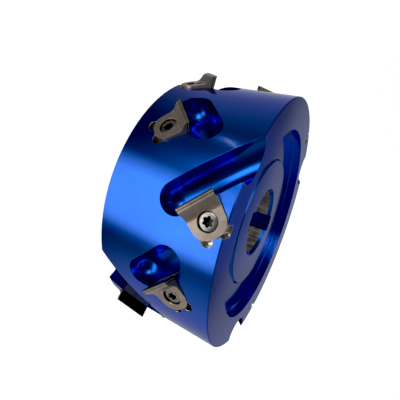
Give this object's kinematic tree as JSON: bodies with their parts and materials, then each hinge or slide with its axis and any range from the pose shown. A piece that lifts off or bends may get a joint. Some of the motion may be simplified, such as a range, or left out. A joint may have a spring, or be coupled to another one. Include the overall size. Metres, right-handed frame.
{
  "type": "pre-milling cutter",
  "caption": "Round pre-milling cutter: an anodised aluminium body with sheared gullets, a keyed bore and screwed-on diamond-tipped inserts in two hands.",
  "frame": {"origin": "centre of the bore on the rear face", "axes": "+Z along the bore axis, out of the recessed front face; the two keyways lie on X"},
  "size_m": [0.1246, 0.1244, 0.049],
  "materials": {
    "anodised_body": "blue anodised, fine turned",
    "insert_steel": "ground",
    "diamond": "black diamond layer on carbide, ground",
    "screw_steel": "bright machined"
  },
  "bodies": {
    "root": {"cutter_body": "anodised_body", "insert_front_outer_1": "insert_steel", "insert_front_outer_2": "insert_steel", "insert_front_outer_3": "insert_steel", "insert_front_inner_1": "insert_steel", "insert_front_inner_2": "insert_steel", "insert_front_inner_3": "insert_steel", "insert_rear_inner_1": "insert_steel", "insert_rear_inner_2": "insert_steel", "insert_rear_inner_3": "insert_steel", "insert_rear_outer_1": "insert_steel", "insert_rear_outer_2": "insert_steel", "insert_rear_outer_3": "insert_steel", "diamond_tip_front_outer_1": "diamond", "diamond_tip_front_outer_2": "diamond", "diamond_tip_front_outer_3": "diamond", "diamond_tip_front_inner_1": "diamond", "diamond_tip_front_inner_2": "diamond", "diamond_tip_front_inner_3": "diamond", "diamond_tip_rear_inner_1": "diamond", "diamond_tip_rear_inner_2": "diamond", "diamond_tip_rear_inner_3": "diamond", "diamond_tip_rear_outer_1": "diamond", "diamond_tip_rear_outer_2": "diamond", "diamond_tip_rear_outer_3": "diamond", "insert_screws": "screw_steel"}
  },
  "joints": []
}
